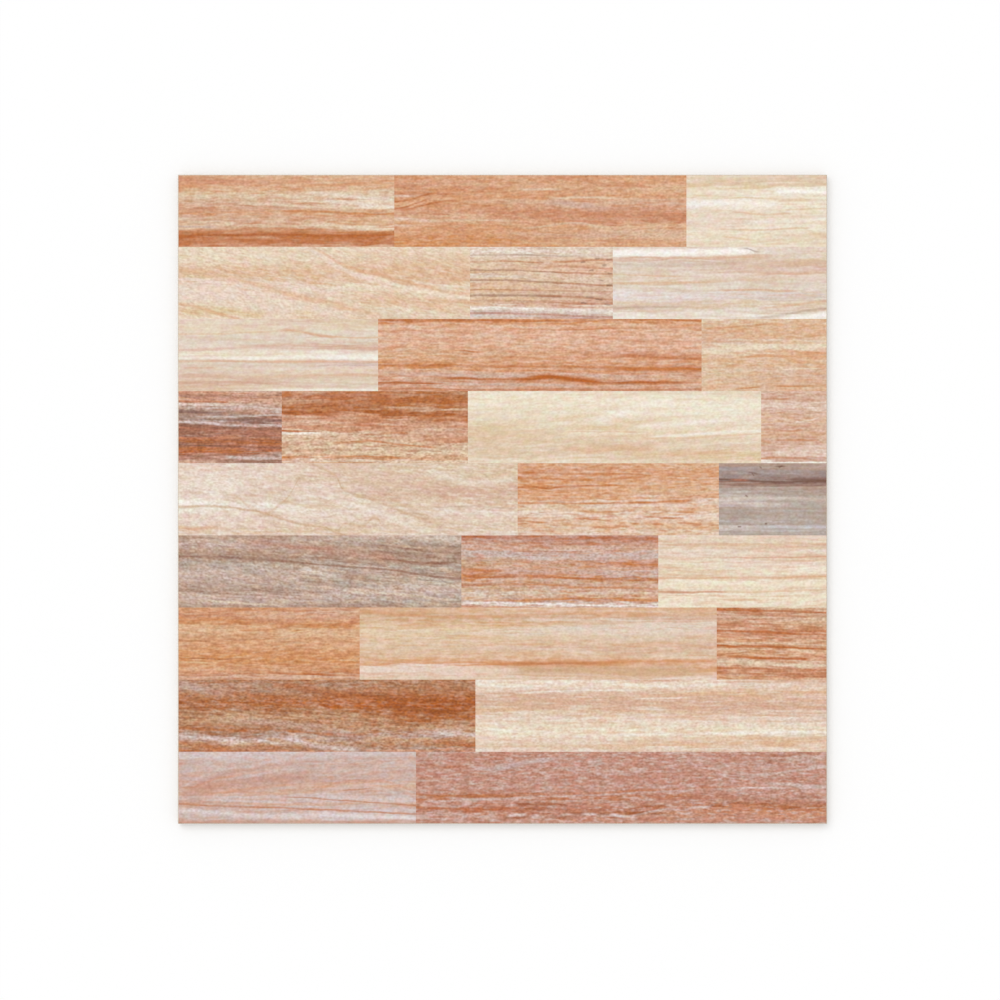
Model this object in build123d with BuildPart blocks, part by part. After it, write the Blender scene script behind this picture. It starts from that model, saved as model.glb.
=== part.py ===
"""Wood-look floor tile: one dry-pressed porcelain tile with a flat glazed face, ground edges and a keyed back.

The tile lies face up. The origin is the middle of the bedding plane, on which the ribs of the back stand,
+Z points out of the glazed face, and +X runs along the strips of the printed wood.
"""

import os

from build123d import *

# The slab, in millimetres
tile_side = 600.0  # work size across the ground edges, the same both ways
tile_thickness = 9.5  # from the bedding plane to the glazed face
face_bevel = 0.6  # small ground bevel along each edge of the glazed face

# The pressed foot: below the ground band, each side slopes in towards the back
foot_height = 2.8  # how far the slope reaches up from the bedding plane
foot_setback = 1.4  # how far the back edge stands in from the ground edge

# The keyed back: square pockets between ribs, which the bedding adhesive grips
pocket_count = 12  # pockets along each side
pocket_depth = 0.9  # from the bedding plane to the floor of a pocket
pocket_corner = 3.5  # how much of each side the clipped corners of a pocket take at the bedding plane
pocket_draft = 35.0  # slope of a pocket's walls away from the upright, in degrees
rib_width = 7.0  # land between two neighbouring pockets
border_width = 12.0  # plain land between the outer pockets and the back edge

# What follows from them
keyed_width = tile_side - 2 * (foot_setback + border_width)
pocket_pitch = (keyed_width + rib_width) / pocket_count
pocket_width = pocket_pitch - rib_width


# One pocket of the back as the press die's raised pad leaves it: clipped corners, walls sloping inwards
with BuildPart() as pocket:
    with BuildSketch() as pocket_outline:
        Rectangle(pocket_width, pocket_width)
        chamfer(pocket_outline.vertices(), length=pocket_corner)
    extrude(amount=pocket_depth, taper=pocket_draft)


with BuildPart() as floor_tile:
    # Pressed slab
    with BuildSketch():
        Rectangle(tile_side, tile_side)
    extrude(amount=tile_thickness)

    # Ground bevel round the glazed face
    glazed_face = floor_tile.faces().sort_by(Axis.Z)[-1]
    chamfer(glazed_face.edges(), length=face_bevel)

    # Sloping foot round the back, taller up the side than it is deep
    back_face = floor_tile.faces().sort_by(Axis.Z)[0]
    chamfer(back_face.edges(), length=foot_setback, length2=foot_height, reference=back_face)

    # Pockets between the ribs
    with GridLocations(pocket_pitch, pocket_pitch, pocket_count, pocket_count):
        add(pocket.part, mode=Mode.SUBTRACT)

floor_tile.part.label = "floor_tile"

os.makedirs("parts", exist_ok=True)
export_step(floor_tile.part, "parts/floor_tile.step")
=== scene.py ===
"""Wood-look floor tile: a pressed porcelain square with a printed, satin-glazed face.

It lies face up on a white floor, and the camera looks straight down on it.
"""

import math

import bmesh
import bpy
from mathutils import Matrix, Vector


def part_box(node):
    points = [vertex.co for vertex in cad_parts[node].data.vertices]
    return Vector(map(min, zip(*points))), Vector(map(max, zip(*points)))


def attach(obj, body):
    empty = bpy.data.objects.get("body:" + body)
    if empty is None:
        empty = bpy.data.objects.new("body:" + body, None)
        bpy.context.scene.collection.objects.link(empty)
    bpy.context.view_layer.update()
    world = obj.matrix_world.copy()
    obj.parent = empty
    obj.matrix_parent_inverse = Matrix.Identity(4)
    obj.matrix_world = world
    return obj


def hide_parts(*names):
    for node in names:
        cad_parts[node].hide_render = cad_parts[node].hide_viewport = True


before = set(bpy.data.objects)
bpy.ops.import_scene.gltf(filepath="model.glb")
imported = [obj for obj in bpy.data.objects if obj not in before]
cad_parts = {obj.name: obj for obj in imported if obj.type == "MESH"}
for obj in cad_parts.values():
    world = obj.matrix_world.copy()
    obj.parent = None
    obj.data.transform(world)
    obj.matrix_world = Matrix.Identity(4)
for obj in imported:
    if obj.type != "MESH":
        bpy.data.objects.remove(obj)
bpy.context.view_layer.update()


# The pressed body: one square of porcelain, dry-pressed from powder and fired as a single piece.
# Its sides and the bevel of its face are ground true after firing; the sloping foot and the keyed back
# stay as the press die left them.
MM = 0.001
tile_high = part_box("floor_tile")[1]
half_side = tile_high.x
thickness = tile_high.z
face_bevel = 0.6 * MM
foot_height = 2.8 * MM
foot_setback = 1.4 * MM
border_width = 12.0 * MM
rib_width = 7.0 * MM
pocket_count = 12
pocket_depth = 0.9 * MM
pocket_draft = math.radians(35.0)
pocket_corner = 5.0 * MM
corner_steps = 3

back_half = half_side - foot_setback
keyed_half = back_half - border_width + rib_width / 2

tile = bmesh.new()
bmesh.ops.create_grid(tile, x_segments=pocket_count, y_segments=pocket_count, size=keyed_half)
bmesh.ops.reverse_faces(tile, faces=tile.faces)
pockets = list(tile.faces)
bmesh.ops.inset_individual(tile, faces=pockets, thickness=rib_width / 2, use_even_offset=True)
pocket_run = pocket_depth * math.tan(pocket_draft)
walls = bmesh.ops.inset_individual(tile, faces=pockets, thickness=pocket_run, depth=-pocket_depth,
                                   use_even_offset=True)["faces"]
wall_edges = {edge for wall in walls for edge in wall.edges}
corner_edges = [
    edge for edge in wall_edges
    if abs(edge.verts[0].co.z - edge.verts[1].co.z) > pocket_depth / 2
]
bmesh.ops.bevel(tile, geom=corner_edges, offset=pocket_corner, offset_type="OFFSET", affect="EDGES",
                segments=corner_steps, profile=0.5, material=-1, clamp_overlap=False)

# From the keyed back the rim goes out to the foot, up the ground side and in over the bevel.
rim_half = keyed_half
rim_levels = [
    (back_half, 0.0),
    (half_side, foot_height),
    (half_side, thickness - face_bevel),
    (half_side - face_bevel, thickness),
]
for half, height in rim_levels:
    rim = [edge for edge in tile.edges if edge.is_boundary]
    made = bmesh.ops.extrude_edge_only(tile, edges=rim)["geom"]
    raised = [item for item in made if isinstance(item, bmesh.types.BMVert)]
    bmesh.ops.scale(tile, vec=(half / rim_half, half / rim_half, 1.0), verts=raised)
    bmesh.ops.translate(tile, vec=(0.0, 0.0, height - raised[0].co.z), verts=raised)
    rim_half = half
bmesh.ops.contextual_create(tile, geom=[edge for edge in tile.edges if edge.is_boundary])
bmesh.ops.recalc_face_normals(tile, faces=tile.faces)


def linear(hex_colour):
    """A written sRGB hex colour as the linear colour that a shader takes."""
    parts = [int(hex_colour[place:place + 2], 16) / 255 for place in (1, 3, 5)]
    return [part / 12.92 if part <= 0.04045 else ((part + 0.055) / 1.055) ** 2.4 for part in parts] + [1.0]


def add(tree, kind, sockets, stops=(), curve="LINEAR", out=0, **settings):
    """Adds a node with its settings, ramp stops and inputs, each a value or a link, and gives one output."""
    node = tree.nodes.new("ShaderNode" + kind)
    for name, value in settings.items():
        setattr(node, name, value)
    for place, value in sockets.items():
        if isinstance(value, bpy.types.NodeSocket):
            tree.links.new(value, node.inputs[place])
        else:
            node.inputs[place].default_value = value
    if stops:
        node.color_ramp.interpolation = curve
    for number, (place, colour) in enumerate(stops):
        if number >= len(node.color_ramp.elements):
            node.color_ramp.elements.new(1.0)
        node.color_ramp.elements[number].position = place
        node.color_ramp.elements[number].color = colour
    return node.outputs[out]


# The bare body where grinding has cut it: buff porcelain with fine dark grains, and a satin sheen along
# the grinding marks, which run round the tile. Sizes of patterns are in millimetres.
speck_size = 0.9
ground_stops = [(0.30, linear("#a39480")), (0.42, linear("#cdbfab")), (0.62, linear("#d6cab7"))]
mark_size = (25.0, 25.0, 0.2)
mark_depth = 0.05 * MM
mark_strength = 0.3
ground_roughness = (0.45, 0.7)
ground_body = bpy.data.materials.new("ground_porcelain_body")
ground_body.use_nodes = True
tree = ground_body.node_tree
place = add(tree, "TexCoord", {}, out="Object")
millimetres = add(tree, "VectorMath", {0: place, 1: [1 / MM] * 3}, operation="MULTIPLY")
grains = add(tree, "TexNoise", {"Vector": millimetres, "Scale": 1 / speck_size, "Detail": 2.0})
body_colour = add(tree, "ValToRGB", {0: grains}, stops=ground_stops)
along_marks = add(tree, "VectorMath", {0: millimetres, 1: [1 / size for size in mark_size]},
                  operation="MULTIPLY")
marks = add(tree, "TexNoise", {"Vector": along_marks, "Scale": 1.0, "Detail": 2.0})
sheen = add(tree, "MapRange", {"Value": marks, "To Min": ground_roughness[0], "To Max": ground_roughness[1]})
relief = add(tree, "Bump", {"Height": marks, "Strength": mark_strength, "Distance": mark_depth})
shader = tree.nodes["Principled BSDF"]
tree.links.new(body_colour, shader.inputs["Base Color"])
tree.links.new(sheen, shader.inputs["Roughness"])
tree.links.new(relief, shader.inputs["Normal"])

# The back as it left the kiln: the same body, rougher and warmer, with the thin pale kiln wash that keeps
# tiles from sticking to the rollers, rubbed off in patches and left mostly on the ribs.
grit_size = 1.4
grit_depth = 0.1 * MM
grit_strength = 0.4
back_stops = [(0.30, linear("#9c8a76")), (0.45, linear("#c2b09a")), (0.65, linear("#cbbba6"))]
back_roughness = 0.85
wash_tone = linear("#e6dfd3")
wash_size = 35.0
wash_edge = (0.38, 0.62)
wash_heights = (0.05, 0.5)
wash_on_rib_and_pocket = (0.5, 0.12)
wash_all_over = 0.08
fired_back = bpy.data.materials.new("fired_porcelain_back")
fired_back.use_nodes = True
tree = fired_back.node_tree
place = add(tree, "TexCoord", {}, out="Object")
millimetres = add(tree, "VectorMath", {0: place, 1: [1 / MM] * 3}, operation="MULTIPLY")
grit = add(tree, "TexNoise", {"Vector": millimetres, "Scale": 1 / grit_size, "Detail": 3.0})
patches = add(tree, "TexNoise", {"Vector": millimetres, "Scale": 1 / wash_size, "Detail": 4.0})
body_colour = add(tree, "ValToRGB", {0: grit}, stops=back_stops)
height = add(tree, "SeparateXYZ", {0: millimetres}, out="Z")
on_rib = add(tree, "MapRange", {
    "Value": height, "From Min": wash_heights[0], "From Max": wash_heights[1],
    "To Min": wash_on_rib_and_pocket[0], "To Max": wash_on_rib_and_pocket[1],
})
washed = add(tree, "MapRange", {"Value": patches, "From Min": wash_edge[0], "From Max": wash_edge[1]},
             interpolation_type="SMOOTHSTEP")
wash = add(tree, "Math", {0: on_rib, 1: washed, 2: wash_all_over}, operation="MULTIPLY_ADD")
back_colour = add(tree, "Mix", {0: wash, 6: body_colour, 7: wash_tone}, data_type="RGBA", out=2)
relief = add(tree, "Bump", {"Height": grit, "Strength": grit_strength, "Distance": grit_depth})
shader = tree.nodes["Principled BSDF"]
shader.inputs["Roughness"].default_value = back_roughness
tree.links.new(back_colour, shader.inputs["Base Color"])
tree.links.new(relief, shader.inputs["Normal"])


# The printed face: rows of wood strips, printed by inkjet on the engobe and sealed under a clear satin
# glaze. Each strip copies one board, so it has its own tones across the board, its own grain lines and its
# own fibre.
row_count = 9
tile_side = 2 * half_side / MM
row_width = tile_side / row_count

# The wood tones of the print
chalk = linear("#f9f5ef")
pearl = linear("#e7dddb")
snow = linear("#efe7db")
ivory = linear("#eee3cc")
cream = linear("#e6d5bc")
shell = linear("#e7d2c3")
bone = linear("#decebd")
sand = linear("#dcc2a5")
wheat = linear("#ddc199")
petal = linear("#dfb195")
peach = linear("#dbb28e")
blush = linear("#d4ad95")
mist = linear("#d4c7c1")
steel = linear("#c6c2c3")
orchid = linear("#d4c4c2")
lilac = linear("#cab2a9")
rose = linear("#c18f7d")
apricot = linear("#d79e75")
salmon = linear("#ce9171")
honey = linear("#d18c55")
amber = linear("#be691c")
terracotta = linear("#bc7040")
cinnamon = linear("#ae6530")
brick = linear("#b37156")
walnut = linear("#b27f5c")
rust = linear("#b25a10")
chestnut = linear("#94490f")
cocoa = linear("#91614b")
plum = linear("#835f56")
fawn = linear("#caa581")
taupe = linear("#af9280")
ash = linear("#b3a498")
slate = linear("#99857f")
umber = linear("#724e3e")

# Sizes of the grain's patterns, along and across the board or across alone, and how far they shift the
# print, in millimetres
figure_size = (75.0, 4.8)
grain_width = 2.2
patch_size = (7.0, 4.5)
fibre_size = (2.4, 1.7)
stroke_width = 1.9
wander_size = (130.0, 50.0)
ragged_size = (14.0, 5.0)
ragged_reach = 0.35
feather = 2.2

# The values of a noise between which each effect goes from none to all
drift_range = (0.3, 0.7)
turn_range = (0.65, 1.35)
tint_range = (0.45, 0.7)
dash_range = (0.5, 0.8)
fleck_range = (0.5, 0.2)
break_range = (0.35, 0.65)
sheen_range = (0.25, 0.75)

# Steps in depth that give each strip, and each noise in it, a pattern of its own
strip_step = 40.0
noise_step = 1.0
first_noise = 0.5

# How strong the effects are, and the satin glaze over them
fibre_tint = (0.75, 1.0, 1.2)
patch_tint = 0.14
broken_ink = 0.75
line_fade = 0.05
pore_fade = 0.012
glaze_roughness = (0.34, 0.46)
glaze_depth = 0.06 * MM
glaze_strength = 0.35
glaze_shine = 0.25
strips = []


def line(tone, path, width, ink, fade=line_fade):
    """One grain line of the print.

    path gives points as (along, down), in hundredths of the strip's length and width. width is in millimetres
    from the middle of the line to where it has faded out, ink is how much it covers, and fade is the share of
    the strip over which it starts and ends.
    """
    return {"tone": tone, "path": path, "width": width, "ink": ink, "fade": fade}


def pores(tone, width, ink, spots):
    """Short strokes alike in tone, width and ink, each with where it starts and where it ends."""
    return [line(tone, [spot[:2], spot[2:]], width, ink, pore_fade) for spot in spots]


def print_strip(row, length, wood, left, right=None, deep=terracotta, pale=cream, figure=0.75,
                grain=1.2, fibre=0.5, tint=blush, tinting=0.3, dash=amber, dashes=0.35, fleck=cream,
                flecks=0.3, ring=40.0, stroke=14.0, sway=1.0, slope=0.0, lines=()):
    """Makes the print of the next strip in a row, which starts where the last one ended.

    left and right list the tones across the strip at its two ends, from its far edge to its near edge, with
    places in hundredths of its width. deep, pale, tint, dash and fleck are the tones of its fibre, patches
    and short strokes, and tinting, dashes and flecks are how much these cover. figure, grain and fibre are
    how strong its noises are. ring and stroke are lengths along the grain and sway is how far the grain
    wanders, in millimetres, and slope is how much it climbs across the strip.
    """
    start = sum(other["length"] for other in strips if other["row"] == row)
    material = bpy.data.materials.new(f"glazed_print_{row}_{wood}")
    material.use_nodes = True
    tree = material.node_tree
    strip_x = start - tile_side / 2
    strip_y = tile_side / 2 - (row - 1) * row_width
    own_pattern = strip_step * (len(strips) + 1)
    board = add(tree, "Mapping", {
        "Vector": add(tree, "TexCoord", {}, out="Object"),
        "Location": (-strip_x, strip_y, own_pattern),
        "Scale": (1 / MM, -1 / MM, 1 / MM),
    })
    along = add(tree, "SeparateXYZ", {0: board}, out="X")
    across = along.node.outputs["Y"]
    share = add(tree, "Math", {0: along, 1: length}, operation="DIVIDE")

    # The board's grain wanders slowly along its length, and its lines are a little ragged.
    height = across
    for (noise_length, noise_width), reach in ((wander_size, sway), (ragged_size, ragged_reach)):
        place = add(tree, "VectorMath", {0: board, 1: (1 / noise_length, 1 / noise_width, 1.0)},
                    operation="MULTIPLY")
        drift = add(tree, "TexNoise", {"Vector": place, "Scale": 1.0, "Detail": 1.0})
        shift = add(tree, "MapRange", {
            "Value": drift, "From Min": drift_range[0], "From Max": drift_range[1],
            "To Min": -reach, "To Max": reach,
        }, clamp=False)
        height = add(tree, "Math", {0: height, 1: shift}, operation="ADD")

    # Stretched noise: broad figure, growth-ring grain, warm or cool patches, single fibres and short strokes
    leaning = add(tree, "Math", {0: along, 1: slope, 2: height}, operation="MULTIPLY_ADD")
    noises = []
    noise_sizes = (figure_size, (ring, grain_width), patch_size, fibre_size, (stroke, stroke_width))
    for number, (noise_length, noise_width) in enumerate(noise_sizes):
        place = add(tree, "CombineXYZ", {
            "X": add(tree, "Math", {0: along, 1: noise_length}, operation="DIVIDE"),
            "Y": add(tree, "Math", {0: leaning, 1: noise_width}, operation="DIVIDE"),
            "Z": own_pattern + first_noise + number * noise_step,
        })
        noises.append(add(tree, "TexNoise", {"Vector": place, "Scale": 1.0, "Detail": 0.0}))
    broad, rings, patches, fibres, short = noises

    # Tones across the board, feathered by the grain, turning from its left end's to its right end's
    feathered = add(tree, "MapRange", {
        "Value": rings, "From Min": drift_range[0], "From Max": drift_range[1],
        "To Min": -feather, "To Max": feather,
    }, clamp=False)
    band_height = add(tree, "Math", {0: height, 1: feathered}, operation="ADD")
    level = add(tree, "Math", {0: band_height, 1: row_width}, operation="DIVIDE")
    colour = add(tree, "ValToRGB", {0: level}, stops=[(place / 100, tone) for place, tone in left])
    if right:
        right_stops = [(place / 100, tone) for place, tone in right]
        right_colour = add(tree, "ValToRGB", {0: level}, stops=right_stops)
        turn = add(tree, "Math", {0: broad, 1: share}, operation="ADD")
        turned = add(tree, "MapRange", {"Value": turn, "From Min": turn_range[0], "From Max": turn_range[1]},
                     interpolation_type="SMOOTHSTEP")
        colour = add(tree, "Mix", {0: turned, 6: colour, 7: right_colour}, data_type="RGBA", out=2)

    # Warm or cool patches, then fibre: where the grain runs high the print turns to the pale tone, where it
    # runs low to the deep one. Dark dashes lie where the stroke noise runs high, pale flecks where it runs
    # low.
    tinted = add(tree, "MapRange", {
        "Value": patches, "From Min": tint_range[0], "From Max": tint_range[1], "To Max": tinting,
    })
    figured = add(tree, "Math", {0: broad, 1: figure, 2: -(figure + grain) / 2}, operation="MULTIPLY_ADD")
    high = add(tree, "Math", {0: rings, 1: grain, 2: figured}, operation="MULTIPLY_ADD")
    low = add(tree, "Math", {0: high, 1: -1.0}, operation="MULTIPLY")
    dashed = add(tree, "MapRange", {
        "Value": short, "From Min": dash_range[0], "From Max": dash_range[1], "To Max": dashes,
    })
    flecked = add(tree, "MapRange", {
        "Value": short, "From Min": fleck_range[0], "From Max": fleck_range[1], "To Max": flecks,
    })
    for amount, tone in ((tinted, tint), (high, pale), (low, deep), (dashed, dash), (flecked, fleck)):
        colour = add(tree, "Mix", {0: amount, 6: colour, 7: tone}, data_type="RGBA", out=2)

    # Single grain lines, thinner inked where the ring grain is pale. Each ramp holds a line's height and how
    # much of it shows.
    broken = add(tree, "MapRange", {
        "Value": rings, "From Min": break_range[0], "From Max": break_range[1],
        "To Min": 1.0, "To Max": broken_ink,
    })
    for mark in lines:
        points = [(place / 100, [down / 100] * 3 + [1.0]) for place, down in mark["path"]]
        begin, end = points[0], points[-1]
        if begin[0] > 0:
            points.insert(0, (max(begin[0] - mark["fade"], 0.0), begin[1][:3] + [0.0]))
        if end[0] < 1:
            points.append((min(end[0] + mark["fade"], 1.0), end[1][:3] + [0.0]))
        middle = add(tree, "ValToRGB", {0: share}, stops=points, curve="CARDINAL")
        off = add(tree, "Math", {0: middle, 1: -row_width, 2: height}, operation="MULTIPLY_ADD")
        distance = add(tree, "Math", {0: off}, operation="ABSOLUTE")
        body = add(tree, "MapRange", {
            "Value": distance, "From Max": mark["width"], "To Min": mark["ink"], "To Max": 0.0,
        }, interpolation_type="SMOOTHSTEP")
        inked = add(tree, "Math", {0: body, 1: middle.node.outputs["Alpha"]}, operation="MULTIPLY")
        strength = add(tree, "Math", {0: inked, 1: broken}, operation="MULTIPLY")
        colour = add(tree, "Mix", {0: strength, 6: colour, 7: mark["tone"]}, data_type="RGBA", out=2)

    # Single fibres lighten and darken what lies under them, and small patches are warmer or cooler.
    fibre_light = add(tree, "Math", {0: fibres, 1: fibre, 2: -fibre / 2}, operation="MULTIPLY_ADD")
    fibre_colour = add(tree, "VectorMath", {0: fibre_light, 1: fibre_tint, 2: [1.0] * 3},
                       operation="MULTIPLY_ADD")
    colour = add(tree, "VectorMath", {0: colour, 1: fibre_colour}, operation="MULTIPLY")
    patch_colour = add(tree, "VectorMath", {
        0: patches.node.outputs["Color"], 1: [patch_tint] * 3, 2: [1.0 - patch_tint / 2] * 3,
    }, operation="MULTIPLY_ADD")
    colour = add(tree, "VectorMath", {0: colour, 1: patch_colour}, operation="MULTIPLY")

    sheen = add(tree, "MapRange", {
        "Value": rings, "From Min": sheen_range[0], "From Max": sheen_range[1],
        "To Min": glaze_roughness[0], "To Max": glaze_roughness[1],
    })
    relief = add(tree, "Bump", {"Height": rings, "Strength": glaze_strength, "Distance": glaze_depth})
    shader = tree.nodes["Principled BSDF"]
    shader.inputs["Specular IOR Level"].default_value = glaze_shine
    tree.links.new(colour, shader.inputs["Base Color"])
    tree.links.new(sheen, shader.inputs["Roughness"])
    tree.links.new(relief, shader.inputs["Normal"])
    strips.append({
        "row": row, "top": strip_y * MM, "start": strip_x * MM, "length": length, "material": material,
    })


# Row 1, along the far edge
print_strip(
    1, 200, "tan", pale=sand, figure=0.6, grain=0.88, fibre=0.54, dashes=0.32, flecks=0.24, ring=24.0,
    stroke=10.0,
    left=[(0, peach), (8, salmon), (15, apricot), (22, peach), (32, sand), (42, blush), (52, apricot),
          (60, blush), (70, sand), (77, salmon), (82, cinnamon), (88, terracotta), (95, terracotta),
          (100, salmon)],
    right=[(0, peach), (10, apricot), (18, peach), (26, sand), (34, cream), (42, ivory), (47, sand),
           (53, apricot), (60, peach), (68, peach), (73, cream), (78, apricot), (83, cinnamon),
           (88, terracotta), (95, terracotta), (100, salmon)],
    lines=[
        line(salmon, [(0, 9), (30, 11), (60, 10)], 4.0, 0.6),
        line(apricot, [(60, 15), (100, 14)], 1.8, 0.5),
        line(snow, [(62, 25), (80, 30), (100, 34)], 3.0, 0.45),
        line(snow, [(70, 36), (86, 41), (100, 43)], 3.4, 0.5),
        line(cream, [(33, 40), (50, 42), (66, 46)], 2.2, 0.7),
        line(terracotta, [(10, 46), (16, 45)], 2.0, 0.6),
        line(terracotta, [(28, 42), (34, 43)], 1.6, 0.5),
        line(amber, [(50, 51), (70, 52), (100, 55)], 2.0, 0.7),
        line(lilac, [(0, 71), (14, 72)], 1.6, 0.7),
        line(cream, [(60, 70), (80, 72), (100, 76)], 2.2, 0.7),
        line(terracotta, [(0, 92), (50, 93), (100, 92)], 6.0, 0.6),
        line(amber, [(0, 79), (30, 77), (60, 79), (100, 81)], 4.0, 0.5),
        line(rust, [(0, 84), (40, 83), (70, 84), (100, 83)], 3.0, 0.75),
        line(chestnut, [(0, 84), (30, 83), (50, 83)], 1.8, 0.2),
    ],
)
print_strip(
    1, 270, "orange", pale=peach, figure=0.7, grain=0.86, fibre=0.62, dashes=0.31, fleck=sand, flecks=0.27,
    ring=20.0, stroke=8.0,
    left=[(0, apricot), (12, salmon), (28, apricot), (42, apricot), (52, salmon), (60, peach),
          (68, apricot), (80, apricot), (92, honey)],
    right=[(8, apricot), (20, peach), (30, apricot), (40, blush), (48, salmon), (64, salmon), (72, peach),
           (82, blush), (92, peach), (100, apricot)],
    lines=[
        line(terracotta, [(30, 46), (45, 52), (55, 56)], 7.0, 0.3),
        line(terracotta, [(64, 54), (80, 54), (100, 58)], 6.0, 0.4),
        line(lilac, [(55, 38), (64, 42), (70, 46)], 5.0, 0.5),
        line(cream, [(46, 22), (54, 21)], 1.8, 0.7),
        line(cream, [(57, 33), (66, 31), (74, 32)], 1.8, 0.7),
        line(sand, [(17, 64), (25, 62), (36, 63)], 1.8, 0.7),
        line(sand, [(47, 73), (56, 67), (64, 66), (70, 71)], 1.8, 0.7),
        line(sand, [(72, 75), (84, 82), (100, 84)], 4.0, 0.5),
        line(terracotta, [(40, 86), (50, 90), (60, 88)], 6.0, 0.3),
        line(shell, [(0, 28), (4, 28)], 1.8, 0.7),
        line(shell, [(0, 60), (6, 62), (12, 64)], 3.0, 0.6),
        line(shell, [(0, 70), (5, 71)], 2.0, 0.5),
        line(rust, [(0, 46), (6, 40), (11, 32), (17, 27)], 1.8, 0.7),
        line(rust, [(0, 36), (6, 32), (12, 25)], 1.6, 0.6),
        line(rust, [(5, 46), (11, 40), (18, 35)], 1.6, 0.6),
        line(peach, [(2, 42), (9, 34), (15, 28)], 1.4, 0.7),
    ],
)
print_strip(
    1, 130, "cream", deep=sand, pale=snow, grain=1.0, fibre=0.3, tint=shell, dash=peach, dashes=0.25,
    fleck=snow, ring=45.0,
    left=[(0, cream), (8, sand), (14, wheat), (22, ivory), (30, cream), (36, snow), (44, snow), (52, cream),
          (66, shell), (80, ivory), (100, cream)],
    right=[(10, sand), (18, ivory), (26, ivory), (31, cream), (38, ivory), (50, ivory), (58, cream),
           (72, ivory), (84, cream), (92, cream), (100, ivory)],
    lines=[
        line(chalk, [(66, 24), (84, 24), (100, 24)], 4.4, 1.0),
        line(wheat, [(8, 28), (40, 31), (60, 33)], 1.6, 0.7),
        line(chalk, [(0, 40), (30, 39), (62, 42)], 5.0, 0.6),
        line(peach, [(35, 52), (55, 56), (72, 55)], 1.6, 0.7),
        line(wheat, [(72, 50), (100, 48)], 1.6, 0.6),
        line(sand, [(20, 60), (50, 63)], 1.4, 0.5),
        line(peach, [(25, 75), (55, 77), (85, 75)], 1.6, 0.7),
        line(wheat, [(28, 86), (48, 91)], 1.6, 0.6),
        line(peach, [(88, 83), (100, 86)], 4.0, 0.5),
        line(wheat, [(0, 18), (30, 19), (60, 17)], 2.4, 0.6),
        line(chalk, [(50, 66), (75, 66), (100, 62)], 3.0, 0.4),
    ],
)
# Row 2
print_strip(
    2, 270, "peach", deep=peach, pale=shell, figure=0.64, grain=1.02, fibre=0.48, tint=shell, tinting=0.4,
    dash=apricot, dashes=0.26, fleck=ivory, flecks=0.26, ring=16.0, stroke=7.0, sway=2.0, slope=-0.12,
    left=[(20, cream), (34, peach), (42, sand), (48, shell), (70, shell), (82, cream), (90, wheat),
          (100, cream)],
    right=[(0, cream), (30, peach), (45, peach), (60, cream), (75, peach), (90, cream), (100, sand)],
    lines=[
        line(shell, [(0, 62), (12, 66), (26, 78), (36, 92)], 9.0, 0.7),
        line(shell, [(36, 84), (46, 84), (56, 96)], 7.0, 0.7),
        line(peach, [(0, 34), (10, 38), (25, 50), (38, 66), (50, 76), (66, 94)], 5.5, 0.7),
        line(peach, [(70, 66), (84, 80), (100, 92)], 5.0, 0.5),
        line(ivory, [(62, 40), (74, 52), (88, 64), (100, 72)], 3.0, 0.7),
        line(shell, [(44, 1), (52, 20), (58, 34), (66, 46)], 4.0, 0.9),
        line(apricot, [(47, 2), (54, 18), (62, 34), (74, 44), (88, 58), (100, 66)], 2.6, 0.45),
        line(ivory, [(55, 58), (60, 54), (68, 56)], 2.2, 0.6),
        line(honey, [(0, 80), (10, 88), (19, 97)], 3.0, 0.5),
    ],
)
print_strip(
    2, 132, "striped", deep=sand, figure=0.6, grain=0.96, fibre=0.63, tint=mist, dash=cinnamon, dashes=0.28,
    flecks=0.24, stroke=10.0, sway=0.8,
    left=[(0, shell), (8, snow), (12, shell), (18, sand), (24, sand), (34, peach), (42, bone), (50, peach),
          (62, peach), (68, sand), (76, peach), (81, blush), (85, snow), (91, lilac), (96, mist),
          (100, blush)],
    right=[(0, shell), (10, bone), (18, peach), (26, petal), (34, petal), (46, sand), (54, blush),
           (70, blush), (80, salmon), (86, shell), (92, mist), (100, rose)],
    lines=[
        line(taupe, [(0, 12), (40, 11), (70, 12)], 1.4, 0.7),
        line(terracotta, [(0, 21), (30, 20), (50, 21)], 1.5, 0.6),
        line(terracotta, [(60, 20), (80, 18), (100, 18)], 1.8, 0.7),
        line(terracotta, [(55, 26), (80, 27), (100, 30)], 2.0, 0.6),
        line(cocoa, [(0, 33), (30, 33), (62, 35)], 1.4, 0.65),
        line(cinnamon, [(62, 35), (100, 38)], 1.6, 0.6),
        line(cocoa, [(0, 47), (40, 48), (62, 50)], 1.6, 0.7),
        line(cinnamon, [(60, 50), (80, 52), (100, 54)], 1.6, 0.6),
        line(cinnamon, [(0, 60), (40, 61), (100, 62)], 1.2, 0.5),
        line(cocoa, [(0, 68), (40, 68), (60, 69)], 1.9, 0.75),
        line(cinnamon, [(50, 68), (80, 70), (100, 73)], 1.8, 0.6),
        line(cinnamon, [(0, 75), (40, 76), (100, 80)], 1.8, 0.45),
        line(chalk, [(0, 85), (50, 86), (100, 90)], 3.0, 0.5),
        line(brick, [(0, 92), (40, 93), (100, 97)], 1.7, 0.75),
        line(mist, [(0, 97), (30, 98)], 2.0, 0.7),
        *pores(umber, 1.5, 0.6, [
            (88, 16, 90, 16), (96, 17, 99, 17), (78, 20, 80, 20), (93, 25, 95, 25), (84, 32, 86, 32),
            (97, 37, 99, 37), (91, 46, 93, 47), (96, 53, 99, 53), (82, 69, 86, 70), (88, 72, 92, 73),
            (78, 77, 81, 78), (95, 80, 98, 81),
        ]),
    ],
)
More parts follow.
